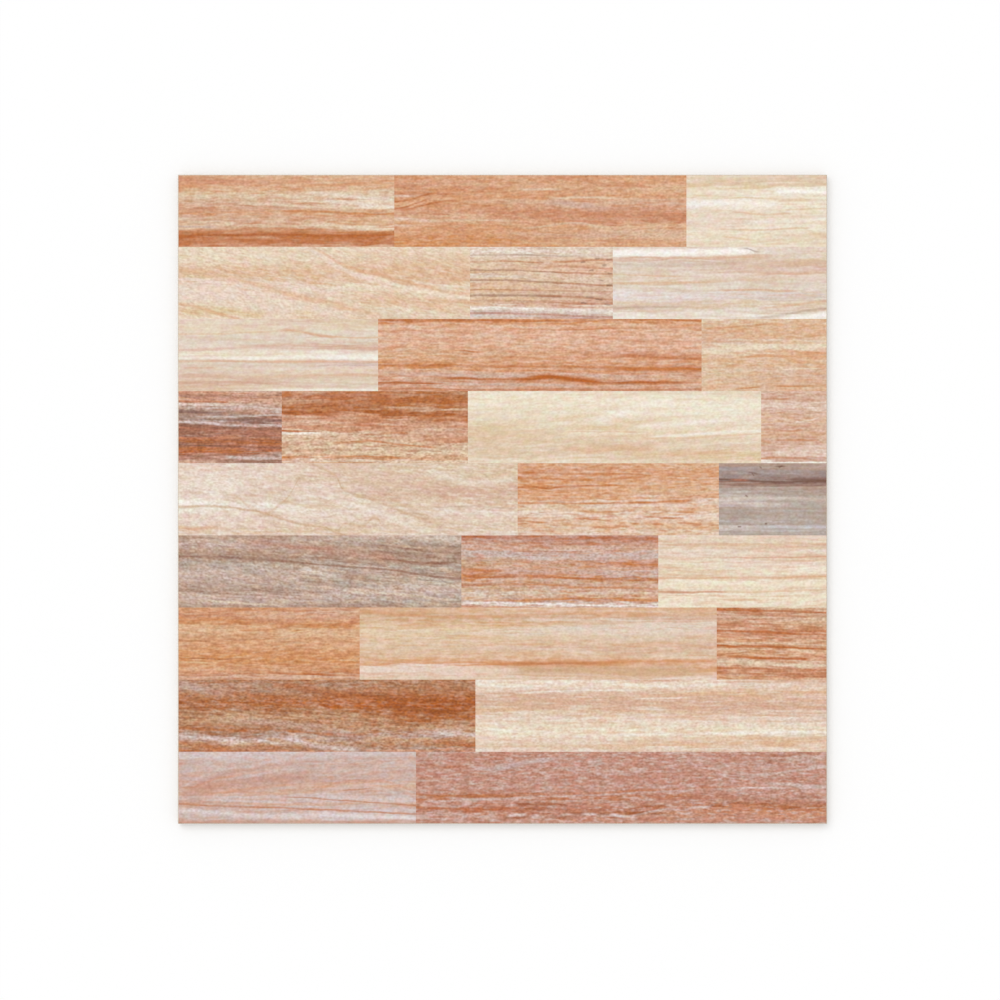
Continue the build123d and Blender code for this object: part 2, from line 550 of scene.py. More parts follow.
print_strip(
    2, 198, "pale", deep=blush, pale=snow, grain=0.9, fibre=0.3, tint=mist, dash=peach, dashes=0.25,
    fleck=snow,
    left=[(0, bone), (3, snow), (12, snow), (16, blush), (26, bone), (36, bone), (48, sand), (54, bone),
          (70, pearl), (80, sand), (90, bone), (100, snow)],
    right=[(0, shell), (12, bone), (17, sand), (28, blush), (40, shell), (50, bone), (62, bone), (68, mist),
           (80, sand), (90, bone), (100, snow)],
    lines=[
        line(chalk, [(0, 8), (30, 8), (63, 6)], 5.4, 1.0),
        line(plum, [(63, 3), (66, 7)], 1.4, 0.6),
        line(apricot, [(8, 14), (45, 15), (72, 14)], 2.0, 0.35),
        line(peach, [(0, 38), (28, 40)], 1.5, 0.7),
        line(apricot, [(70, 39), (90, 38)], 1.9, 0.45),
        line(peach, [(0, 50), (25, 49), (42, 50)], 2.2, 0.55),
        line(honey, [(53, 60), (68, 60), (82, 61)], 1.9, 0.5),
        line(taupe, [(0, 84), (30, 83)], 2.4, 0.5),
        line(apricot, [(72, 85), (86, 80), (100, 76)], 1.9, 0.6),
        line(chalk, [(82, 100), (92, 97), (100, 94)], 4.0, 1.0),
        line(taupe, [(70, 98), (84, 92), (100, 86)], 2.0, 0.5),
        line(taupe, [(0, 24), (30, 25), (55, 23)], 4.0, 0.25),
    ],
)
# Row 3
print_strip(
    3, 185, "beige", deep=blush, pale=ivory, figure=0.6, grain=0.7, fibre=0.26, tint=lilac, dash=peach,
    dashes=0.2, fleck=snow, flecks=0.25, ring=60.0,
    left=[(0, shell), (15, cream), (30, bone), (42, shell), (48, cream), (55, ivory), (60, bone),
          (70, bone), (85, blush), (100, sand)],
    right=[(0, sand), (12, cream), (22, bone), (32, bone), (38, blush), (46, snow), (56, snow), (61, lilac),
           (68, shell), (80, sand), (92, bone), (100, ivory)],
    lines=[
        line(peach, [(0, 21), (30, 20), (56, 16)], 1.5, 0.6),
        line(honey, [(55, 15), (66, 20), (76, 24)], 2.0, 0.5),
        line(peach, [(74, 24), (100, 25)], 1.5, 0.7),
        line(salmon, [(0, 44), (25, 41), (50, 36), (75, 37), (100, 39)], 2.7, 0.35),
        line(chalk, [(0, 55), (40, 55), (60, 52), (100, 52)], 3.2, 0.5),
        line(apricot, [(0, 60), (30, 59), (60, 59), (100, 59)], 2.0, 0.6),
        line(apricot, [(6, 69), (16, 69)], 1.6, 0.6),
        line(peach, [(40, 80), (100, 78)], 1.9, 0.5),
        line(rose, [(0, 90), (40, 89)], 1.9, 0.25),
        line(snow, [(48, 99), (100, 99)], 1.6, 1.0),
    ],
)
print_strip(
    3, 299, "salmon", deep=salmon, pale=sand, figure=0.61, grain=0.98, fibre=0.64, tint=petal, tinting=0.4,
    dashes=0.37, fleck=shell, flecks=0.33, stroke=11.0,
    left=[(0, amber), (5, apricot), (14, petal), (30, petal), (48, peach), (60, apricot), (66, honey),
          (70, apricot), (76, blush), (82, salmon), (86, blush), (90, salmon), (95, blush), (100, salmon)],
    right=[(0, honey), (8, apricot), (20, petal), (40, petal), (48, salmon), (56, apricot), (63, salmon),
           (68, honey), (73, salmon), (78, blush), (84, salmon), (88, apricot), (93, blush), (100, salmon)],
    lines=[
        line(rust, [(0, 2), (40, 3), (100, 2)], 1.8, 0.55),
        line(amber, [(42, 14), (60, 15), (80, 14)], 1.6, 0.5),
        line(amber, [(27, 44), (29, 45)], 1.4, 0.8),
        line(terracotta, [(34, 51), (45, 53)], 2.4, 0.5),
        line(rust, [(76, 50), (88, 52), (100, 54)], 2.8, 0.5),
        line(rust, [(0, 65), (20, 65), (45, 66), (70, 67), (100, 68)], 2.4, 0.6),
        line(amber, [(74, 68), (86, 69), (100, 70)], 5.0, 0.75),
        line(lilac, [(8, 76), (25, 78), (45, 79)], 3.0, 0.5),
        line(lilac, [(60, 78), (80, 79)], 2.6, 0.5),
        line(rust, [(23, 82), (34, 83), (46, 84)], 2.2, 1.0),
        line(amber, [(46, 85), (52, 82), (58, 84), (66, 87)], 5.0, 0.85),
        line(rust, [(46, 84), (51, 82), (55, 82), (62, 85), (68, 88), (76, 88)], 2.0, 1.0),
        line(rust, [(50, 81), (56, 83), (64, 87)], 3.4, 1.0),
        line(rust, [(76, 88), (84, 87), (94, 88)], 2.8, 0.85),
        line(lilac, [(24, 90), (40, 91), (60, 93)], 2.6, 0.5),
        line(rust, [(0, 89), (8, 89), (16, 90)], 1.8, 0.9),
        line(rust, [(0, 98), (50, 98), (100, 98)], 1.7, 0.55),
    ],
)
print_strip(
    3, 116, "light_salmon", deep=peach, figure=0.65, grain=0.96, fibre=0.51, dash=honey, dashes=0.39,
    fleck=shell, flecks=0.35, stroke=9.0,
    left=[(0, cream), (7, sand), (14, peach), (30, blush), (38, cream), (47, cream), (55, peach),
          (75, sand), (100, peach)],
    right=[(28, peach), (34, cream), (40, cream), (47, apricot), (62, peach), (80, blush), (100, peach)],
    lines=[
        line(amber, [(4, 14), (30, 11), (55, 7)], 1.4, 0.5),
        line(cream, [(0, 45), (25, 43), (50, 39), (80, 38), (100, 36)], 3.5, 0.8),
        line(honey, [(38, 54), (46, 51), (54, 52)], 2.7, 0.5),
        line(ivory, [(64, 71), (80, 69), (92, 68)], 1.2, 0.6),
        line(amber, [(28, 97), (44, 95)], 1.4, 0.6),
        line(amber, [(62, 94), (92, 92)], 1.5, 0.5),
    ],
)
# Row 4
print_strip(
    4, 96, "purple_brown", deep=cocoa, pale=salmon, grain=1.3, fibre=1.0, tint=rose, dash=cocoa, dashes=0.5,
    fleck=lilac, flecks=0.25, ring=24.0, stroke=10.0, sway=0.8,
    left=[(0, salmon), (11, rose), (14, apricot), (18, shell), (22, lilac), (27, taupe), (31, plum),
          (36, taupe), (40, slate), (43, lilac), (47, cocoa), (54, brick), (60, cocoa), (66, brick),
          (70, rust), (74, cocoa), (80, rust), (86, rust), (90, brick), (95, rose), (100, blush)],
    right=[(0, blush), (8, salmon), (15, blush), (20, blush), (28, lilac), (33, taupe), (38, cocoa),
           (42, plum), (47, lilac), (50, cocoa), (58, brick), (66, cocoa), (72, rust), (78, brick),
           (85, rust), (89, taupe), (94, lilac), (97, taupe), (100, plum)],
    lines=[
        line(rust, [(0, 15), (25, 15), (45, 16)], 1.8, 0.9),
        line(shell, [(0, 19), (25, 20), (60, 18)], 2.0, 0.6),
        line(mist, [(30, 24), (60, 22), (100, 25)], 1.6, 0.5),
        line(plum, [(0, 29), (20, 30), (40, 33)], 2.2, 0.8),
        line(mist, [(20, 36), (60, 36), (100, 33)], 1.6, 0.6),
        line(plum, [(50, 41), (80, 40), (100, 42)], 2.4, 0.9),
        line(pearl, [(0, 43), (30, 45), (60, 48), (100, 49)], 2.0, 0.6),
        line(cocoa, [(0, 48), (30, 50), (100, 53)], 2.4, 0.8),
        line(cinnamon, [(0, 70), (30, 70), (60, 72), (100, 74)], 2.2, 0.7),
        line(umber, [(0, 75), (40, 77), (100, 79)], 1.4, 0.5),
        line(cinnamon, [(0, 80), (30, 82), (60, 85)], 3.0, 0.8),
        line(cocoa, [(0, 90), (25, 91), (45, 88)], 1.6, 0.7),
        line(mist, [(48, 92), (75, 94), (100, 93)], 2.2, 0.6),
        line(cocoa, [(55, 98), (100, 97)], 1.8, 0.8),
    ],
)
print_strip(
    4, 172, "brown_orange", deep=cinnamon, figure=0.65, grain=1.03, fibre=0.88, dash=cinnamon, dashes=0.46,
    fleck=peach, flecks=0.26, ring=26.0, stroke=8.0,
    left=[(0, terracotta), (8, brick), (18, cinnamon), (29, rust), (33, salmon), (44, blush), (52, salmon),
          (58, cream), (66, sand), (86, sand), (92, apricot), (97, shell), (100, peach)],
    right=[(26, cinnamon), (34, rust), (38, terracotta), (43, salmon), (55, blush), (66, salmon),
           (74, sand), (84, sand), (92, peach), (100, sand)],
    lines=[
        line(chestnut, [(8, 22), (24, 21), (50, 20)], 1.6, 0.5),
        line(chestnut, [(0, 28), (20, 30), (50, 29), (100, 34)], 2.8, 0.45),
        line(terracotta, [(10, 48), (30, 46), (60, 48)], 2.0, 0.6),
        line(rust, [(0, 54), (10, 55), (18, 55)], 1.8, 1.0),
        line(snow, [(0, 58), (10, 58), (18, 58)], 2.0, 1.0),
        line(amber, [(55, 57), (65, 57)], 1.8, 0.8),
        line(amber, [(30, 71), (42, 70)], 2.2, 0.8),
        line(amber, [(45, 67), (60, 72), (80, 76)], 1.6, 0.7),
        line(amber, [(0, 92), (16, 92)], 2.0, 0.8),
        line(amber, [(35, 90), (62, 91)], 1.6, 0.7),
        line(cream, [(20, 96), (60, 97), (100, 97)], 1.8, 0.6),
        line(rust, [(0, 14), (40, 12), (100, 16)], 7.0, 0.4),
    ],
)
print_strip(
    4, 271, "cream", deep=sand, pale=snow, figure=0.8, grain=0.7, fibre=0.3, tint=shell, dash=peach,
    dashes=0.2, fleck=snow, flecks=0.25, ring=22.0, slope=0.03,
    left=[(15, ivory), (35, cream), (55, wheat), (75, sand), (90, sand), (100, cream)],
    right=[(0, cream), (12, ivory), (30, ivory), (45, cream), (58, ivory), (68, cream), (80, sand),
           (90, wheat), (100, cream)],
    lines=[
        line(snow, [(50, 30), (70, 32), (80, 30)], 3.0, 0.5),
        line(wheat, [(34, 38), (44, 34), (52, 40)], 5.0, 0.5),
        line(sand, [(3, 55), (15, 60), (30, 58)], 7.0, 0.5),
        line(peach, [(34, 58), (44, 58), (55, 57)], 1.2, 0.6),
        line(peach, [(64, 66), (82, 63), (100, 58)], 1.9, 0.6),
        line(snow, [(66, 62), (84, 58), (100, 54)], 2.0, 0.9),
        line(apricot, [(42, 86), (50, 80), (60, 78)], 4.0, 0.4),
        line(apricot, [(70, 88), (80, 86), (88, 84)], 3.2, 0.5),
        line(chalk, [(46, 40), (56, 26), (66, 16)], 8.0, 0.4),
        line(chalk, [(60, 48), (74, 44), (88, 40)], 4.0, 0.5),
        line(peach, [(36, 82), (50, 78), (62, 84)], 5.0, 0.5),
    ],
)
print_strip(
    4, 61, "pink_salmon", deep=blush, pale=shell, figure=0.61, grain=0.82, fibre=0.55, tint=lilac,
    dash=terracotta, dashes=0.37, fleck=shell, flecks=0.33, stroke=9.0,
    left=[(14, blush), (20, shell), (30, blush), (42, peach), (50, blush), (58, peach), (68, blush),
          (76, blush), (86, shell), (92, blush), (97, rose), (100, snow)],
    lines=[
        line(terracotta, [(0, 11), (40, 11)], 1.4, 0.7),
        line(shell, [(50, 22), (75, 16), (100, 15)], 1.6, 0.7),
        line(snow, [(55, 43), (75, 40), (85, 37)], 1.4, 0.5),
        line(terracotta, [(50, 51), (72, 49)], 1.9, 0.45),
        line(terracotta, [(20, 55), (45, 57), (60, 55)], 1.9, 0.45),
        line(amber, [(0, 70), (12, 71)], 2.6, 0.7),
        line(amber, [(25, 69), (85, 69)], 1.5, 0.55),
        line(terracotta, [(0, 93), (30, 92), (66, 93)], 1.9, 0.7),
        line(snow, [(0, 98), (60, 99), (100, 99)], 1.6, 1.0),
    ],
)
# Row 5
print_strip(
    5, 314, "pale_beige", deep=peach, pale=snow, figure=0.66, grain=0.88, fibre=0.47, tint=lilac,
    tinting=0.25, dash=taupe, dashes=0.22, fleck=snow, flecks=0.26, ring=14.0, stroke=7.0, slope=-0.06,
    left=[(40, shell), (60, snow), (75, shell), (86, shell), (92, sand), (100, shell)],
    right=[(15, sand), (40, blush), (55, sand), (70, shell), (85, sand), (100, shell)],
    lines=[
        line(snow, [(0, 30), (8, 26), (17, 34)], 12.0, 0.5),
        line(chalk, [(0, 56), (8, 56), (15, 64)], 3.6, 0.35),
        line(fawn, [(17, 50), (24, 44), (32, 40)], 8.0, 0.4),
        line(blush, [(44, 4), (52, 10), (60, 20), (68, 34), (78, 44)], 15.0, 0.4),
        line(sand, [(50, 10), (58, 24), (66, 40), (74, 52)], 10.0, 0.5),
        line(fawn, [(60, 46), (66, 58), (75, 76)], 5.0, 0.5),
        line(fawn, [(39, 1), (43, 7), (47, 20), (48, 34), (52, 44), (59, 53), (65, 65),
                    (75, 81)], 3.0, 0.7),
        line(snow, [(48, 54), (56, 64), (64, 78), (72, 92)], 4.0, 0.5),
        line(fawn, [(0, 62), (15, 62), (26, 71), (33, 81), (44, 90), (48, 98)], 2.0, 0.8),
        line(fawn, [(17, 47), (20, 58), (26, 70)], 3.0, 0.5),
        line(fawn, [(26, 71), (29, 62), (31, 54)], 3.4, 0.7),
        line(fawn, [(31, 54), (34, 36), (36, 20)], 2.0, 0.5),
        line(fawn, [(47, 94), (49, 84), (53, 86)], 2.6, 0.5),
        line(fawn, [(55, 86), (57, 76), (59, 77), (60, 86)], 2.8, 0.6),
        line(apricot, [(0, 88), (4, 91), (9, 89)], 2.6, 0.6),
        line(snow, [(76, 16), (86, 26), (98, 22)], 5.0, 0.5),
        line(taupe, [(78, 60), (88, 58), (98, 62)], 1.6, 0.4),
    ],
)
print_strip(
    5, 186, "peach_orange", deep=peach, pale=shell, figure=0.57, grain=0.91, fibre=0.57, tint=peach,
    dashes=0.44, fleck=shell, flecks=0.34, ring=24.0, stroke=7.5,
    left=[(0, apricot), (14, salmon), (22, apricot), (30, honey), (36, apricot), (50, apricot), (56, peach),
          (62, sand), (72, shell), (85, peach), (100, shell)],
    right=[(0, peach), (10, apricot), (24, apricot), (38, peach), (48, apricot), (54, shell), (64, peach),
           (74, shell), (84, peach), (93, sand), (100, shell)],
    lines=[
        line(amber, [(5, 14), (30, 15), (60, 16)], 2.0, 0.6),
        line(amber, [(0, 21), (40, 23), (60, 20)], 2.0, 0.6),
        line(rust, [(0, 34), (8, 33), (14, 35), (22, 33), (37, 31)], 1.8, 0.75),
        line(amber, [(41, 31), (49, 30)], 1.4, 0.7),
        line(shell, [(34, 60), (60, 57), (84, 57)], 3.0, 0.8),
        line(amber, [(0, 56), (40, 55), (60, 53), (84, 51)], 1.6, 0.6),
        line(amber, [(34, 66), (44, 67), (55, 64)], 2.2, 0.5),
        line(amber, [(30, 76), (44, 78)], 1.6, 0.6),
        line(amber, [(66, 73), (76, 75)], 1.7, 0.7),
        line(amber, [(0, 80), (12, 82)], 1.5, 0.7),
        line(amber, [(39, 87), (45, 88)], 1.6, 0.6),
        *pores(amber, 1.7, 0.6, [
            (68, 68, 72, 68), (33, 75, 35, 75), (0, 77, 5, 76), (0, 84, 4, 84), (57, 83, 60, 83),
            (68, 83, 72, 84), (52, 87, 55, 87), (73, 75, 82, 75), (80, 82, 91, 83), (80, 66, 87, 66),
        ]),
    ],
)
print_strip(
    5, 100, "grey", deep=slate, pale=steel, figure=0.62, grain=0.58, fibre=0.41, tint=taupe, dash=slate,
    dashes=0.25, fleck=mist, flecks=0.17, ring=60.0, sway=0.6,
    left=[(0, taupe), (10, slate), (20, slate), (26, cocoa), (34, taupe), (42, ash), (50, mist), (58, mist),
          (66, ash), (82, ash), (88, mist), (94, ash)],
    right=[(8, taupe), (16, slate), (25, plum), (32, taupe), (40, ash), (82, ash), (88, steel), (94, ash)],
    lines=[
        line(umber, [(0, 22), (20, 24), (50, 26), (100, 24)], 2.2, 0.9),
        line(brick, [(14, 23), (24, 24)], 1.9, 0.7),
        line(umber, [(70, 23), (100, 25)], 3.0, 0.7),
        line(plum, [(0, 30), (40, 32), (100, 31)], 1.4, 0.6),
        line(bone, [(0, 51), (40, 48), (100, 50)], 3.0, 0.4),
        line(taupe, [(0, 70), (100, 68)], 2.7, 0.35),
        line(steel, [(35, 87), (70, 88), (100, 87)], 2.7, 0.65),
        line(umber, [(30, 13), (34, 15)], 1.6, 0.8),
        line(umber, [(55, 5), (59, 5)], 1.5, 0.8),
        line(taupe, [(0, 43), (50, 42), (100, 44)], 1.8, 0.4),
        line(bone, [(8, 56), (60, 57)], 1.8, 0.45),
        line(taupe, [(0, 63), (60, 62), (100, 64)], 2.0, 0.5),
        line(steel, [(0, 80), (60, 81)], 2.2, 0.4),
        *pores(umber, 1.4, 0.9, [
            (38, 6, 39, 7), (56, 6, 58, 5), (31, 15, 32, 17), (25, 45, 26, 46), (18, 88, 20, 88),
            (43, 83, 44, 83),
        ]),
    ],
)
# Row 6
print_strip(
    6, 262, "taupe", deep=cocoa, pale=sand, figure=0.54, grain=0.99, fibre=0.85, tint=fawn, tinting=0.25,
    dash=cocoa, dashes=0.27, fleck=bone, flecks=0.27, ring=24.0, stroke=9.0, slope=-0.08,
    left=[(0, taupe), (12, lilac), (24, taupe), (30, taupe), (38, ash), (55, lilac), (75, taupe),
          (88, lilac), (100, taupe)],
    right=[(0, lilac), (8, ash), (16, taupe), (36, taupe), (46, ash), (56, taupe), (64, ash), (80, lilac),
           (92, ash), (100, taupe)],
    lines=[
        line(rose, [(26, 8), (40, 14), (60, 24), (74, 30)], 7.0, 0.5),
        line(brick, [(28, 10), (38, 15), (52, 18)], 3.0, 0.45),
        line(plum, [(72, 20), (84, 26), (100, 32)], 6.0, 0.2),
        line(bone, [(84, 2), (100, 8)], 5.0, 0.6),
        line(cocoa, [(0, 29), (20, 31), (45, 38), (62, 44), (80, 52), (100, 61)], 1.9, 0.7),
        line(plum, [(0, 26), (16, 30), (30, 33)], 3.0, 0.4),
        line(cocoa, [(66, 12), (82, 18), (100, 24)], 2.0, 0.5),
        line(cocoa, [(74, 33), (86, 37), (94, 38)], 1.9, 0.8),
        line(cocoa, [(50, 30), (62, 34)], 1.6, 0.6),
        line(snow, [(46, 48), (50, 52), (55, 56)], 4.0, 0.5),
        line(bone, [(0, 50), (20, 54), (40, 60)], 8.0, 0.2),
        line(cream, [(12, 90), (24, 94), (34, 96)], 1.8, 0.7),
        line(cream, [(60, 78), (80, 84), (96, 90)], 2.0, 0.5),
    ],
)
print_strip(
    6, 182, "russet_grey", pale=lilac, figure=0.6, grain=0.8, fibre=0.81, tint=lilac, dashes=0.44,
    fleck=lilac, flecks=0.32, ring=24.0, stroke=8.5,
    left=[(0, brick), (6, rose), (20, blush), (26, lilac), (30, lilac), (40, fawn), (47, blush),
          (53, salmon), (58, honey), (63, blush), (69, blush), (74, fawn), (82, bone), (88, peach),
          (92, lilac), (96, snow), (100, salmon)],
    right=[(0, brick), (8, rose), (20, blush), (25, lilac), (32, lilac), (37, salmon), (43, salmon),
           (48, blush), (54, lilac), (60, amber), (65, fawn), (70, blush), (76, blush), (82, sand),
           (88, honey), (92, lilac), (95, snow), (100, lilac)],
    lines=[
        line(rust, [(0, 3), (40, 4), (100, 3)], 1.8, 0.4),
        line(rust, [(30, 22), (60, 23)], 1.4, 0.6),
        line(mist, [(20, 30), (40, 32), (75, 31)], 3.0, 0.35),
        line(amber, [(76, 38), (88, 41), (100, 42)], 3.6, 0.65),
        line(amber, [(5, 49), (18, 51)], 2.6, 0.8),
        line(rust, [(4, 58), (14, 59), (25, 58)], 2.8, 0.8),
        line(rust, [(22, 59), (45, 59), (70, 61), (100, 61)], 2.0, 0.7),
        line(rust, [(0, 70), (8, 70), (14, 69)], 2.2, 0.85),
        line(amber, [(20, 69), (52, 70)], 1.8, 0.6),
        line(amber, [(55, 72), (100, 73)], 1.8, 0.5),
        line(amber, [(25, 90), (60, 88), (100, 89)], 2.2, 0.6),
        line(chalk, [(0, 94), (40, 95), (100, 97)], 1.9, 0.6),
    ],
)
print_strip(
    6, 156, "cream", deep=peach, pale=snow, grain=1.0, fibre=0.35, tint=shell, dash=apricot, dashes=0.3,
    fleck=ivory, ring=50.0,
    left=[(0, shell), (14, sand), (24, shell), (38, cream), (48, cream), (56, sand), (63, ivory),
          (72, ivory), (78, sand), (86, ivory)],
    right=[(0, shell), (10, sand), (22, shell), (30, sand), (40, shell), (52, ivory), (59, sand),
           (66, ivory), (76, cream), (88, ivory), (100, cream)],
    lines=[
        line(salmon, [(5, 14), (40, 12)], 2.2, 0.4),
        line(salmon, [(60, 18), (100, 12)], 2.7, 0.4),
        line(peach, [(0, 31), (24, 32)], 2.2, 0.5),
        line(salmon, [(40, 32), (70, 31), (100, 30)], 1.4, 0.7),
        line(ivory, [(0, 68), (100, 68)], 3.0, 0.6),
        line(apricot, [(0, 60), (40, 59), (100, 58)], 1.9, 0.7),
        line(terracotta, [(0, 78), (20, 79), (38, 78)], 1.8, 0.7),
        line(peach, [(38, 78), (100, 76)], 1.4, 0.5),
    ],
)
# Row 7
print_strip(
    7, 168, "orange", deep=cinnamon, pale=peach, figure=0.61, grain=0.98, fibre=0.66, tint=peach,
    dash=cinnamon, dashes=0.41, fleck=sand, flecks=0.33, ring=20.0, stroke=8.0,
    left=[(0, apricot), (10, salmon), (18, honey), (30, peach), (50, apricot), (70, honey), (84, apricot),
          (92, salmon), (97, blush), (100, salmon)],
    right=[(0, salmon), (8, blush), (18, salmon), (26, honey), (34, peach), (55, apricot), (72, honey),
           (84, apricot), (92, terracotta), (97, blush), (100, apricot)],
    lines=[
        line(terracotta, [(0, 14), (20, 18), (45, 17)], 4.0, 0.4),
        line(terracotta, [(60, 27), (80, 25), (100, 24)], 3.0, 0.4),
        line(wheat, [(12, 32), (20, 31), (30, 31)], 1.6, 0.55),
        line(wheat, [(56, 38), (66, 34), (80, 31)], 1.6, 0.55),
        line(chestnut, [(0, 45), (14, 46)], 1.4, 0.6),
        line(chestnut, [(8, 70), (20, 71), (34, 70)], 1.2, 0.45),
        line(wheat, [(0, 75), (16, 76)], 1.6, 0.6),
        line(terracotta, [(60, 80), (100, 88)], 2.7, 0.5),
        line(rust, [(70, 93), (100, 95)], 1.6, 0.6),
        line(blush, [(0, 96), (50, 97), (100, 97)], 1.6, 0.8),
    ],
)
print_strip(
    7, 330, "tan", deep=apricot, pale=shell, grain=0.8, fibre=0.34, tint=shell, dash=honey, dashes=0.3,
    fleck=shell, ring=45.0,
    left=[(0, peach), (10, fawn), (30, wheat), (55, sand), (70, peach), (78, apricot), (83, shell),
          (92, shell), (100, sand)],
    right=[(6, peach), (14, blush), (22, bone), (36, bone), (44, sand), (56, blush), (66, sand),
           (72, peach), (77, apricot), (84, apricot), (92, peach), (100, shell)],
    lines=[
        line(honey, [(0, 8), (20, 12), (45, 10)], 2.7, 0.4),
        line(honey, [(50, 8), (80, 10)], 2.2, 0.25),
        line(shell, [(62, 36), (80, 38), (100, 36)], 2.7, 0.6),
        line(sand, [(40, 42), (70, 44)], 3.0, 0.4),
        line(honey, [(6, 74), (20, 77), (38, 79)], 2.2, 0.25),
        line(fawn, [(44, 87), (66, 88), (92, 88)], 8.5, 1.0),
        line(honey, [(34, 80), (50, 79), (62, 78), (74, 76)], 5.6, 0.5),
        line(amber, [(40, 79), (56, 78), (70, 76)], 3.6, 0.35),
        line(cinnamon, [(46, 79), (56, 78), (64, 77)], 2.0, 0.35),
        line(honey, [(70, 76), (85, 75), (100, 74)], 2.4, 0.55),
        line(shell, [(0, 88), (20, 87), (42, 88)], 4.0, 0.7),
        line(peach, [(60, 88), (90, 90)], 4.0, 0.4),
    ],
)
print_strip(
    7, 102, "russet", deep=cinnamon, pale=sand, figure=0.64, grain=0.94, fibre=0.74, tinting=0.2,
    dash=cinnamon, dashes=0.51, flecks=0.42, ring=30.0, stroke=12.0, sway=0.5, slope=-0.03,
    left=[(0, terracotta), (8, blush), (14, blush), (22, salmon), (40, salmon), (48, apricot),
          (53, terracotta), (58, peach), (66, apricot), (72, salmon), (78, sand), (84, salmon),
          (92, salmon), (100, apricot)],
    right=[(0, cream), (5, terracotta), (14, blush), (24, peach), (32, terracotta), (42, salmon),
           (50, peach), (57, terracotta), (62, peach), (72, salmon), (80, sand), (87, salmon), (95, salmon),
           (100, peach)],
    lines=[
        line(rust, [(0, 3), (50, 5), (100, 7)], 1.8, 0.9),
        line(cinnamon, [(0, 10), (100, 13)], 1.5, 0.5),
        line(cinnamon, [(0, 22), (100, 24)], 1.4, 0.45),
        line(rust, [(0, 32), (50, 34), (100, 38)], 1.8, 0.85),
        line(cream, [(0, 50), (40, 49), (100, 53)], 1.6, 0.5),
        line(rust, [(0, 53), (40, 54), (100, 58)], 1.8, 0.85),
        line(cinnamon, [(0, 66), (30, 62)], 1.4, 0.6),
        line(rust, [(12, 69), (40, 70), (80, 71)], 2.0, 0.9),
        line(cream, [(0, 73), (40, 78), (100, 80)], 3.2, 0.55),
        line(rust, [(0, 84), (100, 87)], 1.6, 0.75),
        line(cinnamon, [(0, 91), (60, 93), (100, 96)], 2.2, 0.5),
    ],
)
# Row 8
print_strip(
    8, 275, "dark_brown", deep=chestnut, pale=blush, figure=0.54, grain=0.94, fibre=1.05, tint=terracotta,
    dash=chestnut, dashes=0.38, fleck=lilac, flecks=0.24, ring=12.0, stroke=5.5, slope=-0.03,
    left=[(0, walnut), (10, taupe), (22, walnut), (32, cinnamon), (42, walnut), (55, fawn), (64, walnut),
          (70, walnut), (76, taupe), (82, lilac), (88, fawn), (94, walnut), (100, terracotta)],
    right=[(10, walnut), (22, cinnamon), (34, rust), (44, cinnamon), (52, cinnamon), (60, walnut),
           (68, fawn), (76, lilac), (82, fawn), (90, walnut), (96, taupe), (100, salmon)],
    lines=[
        line(lilac, [(0, 6), (6, 12), (14, 18)], 6.0, 0.5),
        line(chestnut, [(0, 30), (4, 36), (8, 41)], 3.4, 0.8),
        line(rust, [(12, 16), (22, 20), (34, 24)], 5.0, 0.4),
        line(rust, [(36, 8), (44, 12), (54, 20), (62, 24)], 6.0, 0.6),
        line(chestnut, [(58, 20), (68, 24), (80, 28), (100, 34)], 5.0, 0.6),
        line(chestnut, [(73, 38), (80, 42), (92, 45)], 4.4, 1.0),
        line(rust, [(0, 68), (12, 70), (24, 72)], 2.6, 0.5),
        line(rust, [(36, 72), (50, 75), (62, 76)], 2.4, 0.5),
        line(pearl, [(0, 78), (10, 80), (18, 84)], 3.4, 0.45),
        line(pearl, [(18, 88), (26, 84), (34, 90)], 3.0, 0.45),
        line(pearl, [(38, 84), (46, 91), (58, 95)], 4.4, 0.5),
        line(pearl, [(84, 72), (92, 76), (100, 78)], 2.4, 0.45),
        line(lilac, [(20, 58), (34, 62), (46, 66)], 5.0, 0.4),
        line(rust, [(0, 86), (8, 90), (14, 95)], 4.0, 0.6),
        line(rust, [(90, 88), (100, 92)], 3.4, 0.6),
    ],
)
print_strip(
    8, 325, "cream_tan", deep=peach, pale=snow, grain=0.9, tinting=0.35, dash=peach, dashes=0.3, fleck=snow,
    ring=35.0,
    left=[(0, shell), (6, ivory), (12, shell), (20, blush), (34, blush), (44, sand), (52, shell),
          (64, cream), (74, ivory), (84, shell), (92, sand), (100, shell)],
    right=[(0, blush), (8, shell), (16, peach), (30, blush), (46, blush), (56, shell), (66, cream),
           (72, ivory), (78, sand), (86, peach), (94, shell), (100, sand)],
    lines=[
        line(snow, [(0, 6), (8, 9), (18, 9)], 1.9, 0.9),
        line(snow, [(16, 17), (30, 14), (42, 13)], 1.4, 0.9),
        line(snow, [(44, 6), (58, 8), (70, 8)], 2.0, 0.8),
        line(snow, [(48, 25), (58, 24)], 1.4, 0.7),
        line(salmon, [(55, 38), (80, 36), (100, 40)], 3.0, 0.4),
        line(peach, [(0, 42), (10, 40)], 3.0, 0.5),
        line(snow, [(4, 62), (14, 66)], 2.7, 0.5),
        line(snow, [(40, 76), (46, 75), (54, 74)], 2.7, 0.8),
        line(snow, [(66, 74), (82, 72), (100, 72)], 2.3, 0.9),
        line(peach, [(78, 80), (100, 80)], 2.2, 0.7),
        line(peach, [(0, 92), (50, 90), (100, 92)], 2.2, 0.4),
    ],
)
